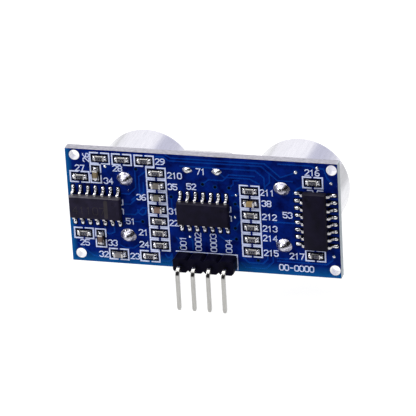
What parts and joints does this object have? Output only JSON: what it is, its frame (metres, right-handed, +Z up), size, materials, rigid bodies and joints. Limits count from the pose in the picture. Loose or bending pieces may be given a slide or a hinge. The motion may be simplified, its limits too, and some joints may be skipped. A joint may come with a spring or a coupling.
{
  "type": "ultrasonic distance sensor",
  "caption": "Upright circuit board with a round transmitter and receiver facing forward, chips and small parts on its back, and a right-angle pin header at its lower edge.",
  "frame": {"origin": "centre of the four mounting holes, on the front face of the circuit board", "axes": "+X along the board towards the receiver, -Y the way the sensor looks, +Z up, with the header pins pointing down"},
  "size_m": [0.045, 0.0181, 0.0255],
  "materials": {
    "board": "glossy blue solder mask over pale glass laminate, with white legend",
    "can_aluminium": "drawn aluminium, satin",
    "screen_wire": "woven wire screen",
    "cone_aluminium": "thin pressed aluminium",
    "brass_plate": "thin rolled sheet",
    "piezo_ceramic": "fired ceramic with a silvered face",
    "silicone": "soft translucent silicone",
    "base_resin": "dark moulded resin",
    "tinned_lead": "bright tin plating",
    "copper_wire": "fine enamelled copper wire",
    "crystal_steel": "nickel-plated steel, satin",
    "quartz": "thin clear quartz blank with silvered ends",
    "header_plastic": "black moulded plastic",
    "header_pin": "plated square pin with drawn sides",
    "chip_epoxy": "black moulded epoxy with a fine matt grain",
    "solder": "bright wetted solder",
    "resistor_body": "dark glass coat on ceramic, tinned ends",
    "capacitor_body": "fired tan to grey ceramic, tinned ends"
  },
  "bodies": {
    "root": {"circuit_board": "board", "transmitter_can": "can_aluminium", "transmitter_screen": "screen_wire", "transmitter_cone": "cone_aluminium", "transmitter_metal_plate": "brass_plate", "transmitter_piezo_disc": "piezo_ceramic", "transmitter_damping_ring": "silicone", "transmitter_base": "base_resin", "transmitter_terminals": "tinned_lead", "transmitter_lead_wires": "copper_wire", "receiver_can": "can_aluminium", "receiver_screen": "screen_wire", "receiver_cone": "cone_aluminium", "receiver_metal_plate": "brass_plate", "receiver_piezo_disc": "piezo_ceramic", "receiver_damping_ring": "silicone", "receiver_base": "base_resin", "receiver_terminals": "tinned_lead", "receiver_lead_wires": "copper_wire", "crystal_can": "crystal_steel", "crystal_base": "crystal_steel", "crystal_quartz": "quartz", "crystal_leads": "tinned_lead", "header_housing": "header_plastic", "header_pins": "header_pin", "amplifier_chip_body": "chip_epoxy", "amplifier_chip_leads": "tinned_lead", "controller_chip_body": "chip_epoxy", "controller_chip_leads": "tinned_lead", "driver_chip_body": "chip_epoxy", "driver_chip_leads": "tinned_lead", "transducer_solder_joints": "solder", "crystal_solder_joints": "solder", "header_solder_joints": "solder", "surface_solder_joints": "solder", "resistor_1": "resistor_body", "resistor_2": "resistor_body", "resistor_3": "resistor_body", "resistor_4": "resistor_body", "resistor_5": "resistor_body", "resistor_6": "resistor_body", "resistor_7": "resistor_body", "resistor_8": "resistor_body", "resistor_9": "resistor_body", "resistor_10": "resistor_body", "resistor_11": "resistor_body", "resistor_12": "resistor_body", "resistor_13": "resistor_body", "resistor_14": "resistor_body", "resistor_15": "resistor_body", "resistor_16": "resistor_body", "resistor_17": "resistor_body", "capacitor_1": "capacitor_body", "capacitor_2": "capacitor_body", "capacitor_3": "capacitor_body", "capacitor_4": "capacitor_body", "capacitor_5": "capacitor_body", "capacitor_6": "capacitor_body", "capacitor_8": "capacitor_body"}
  },
  "joints": []
}
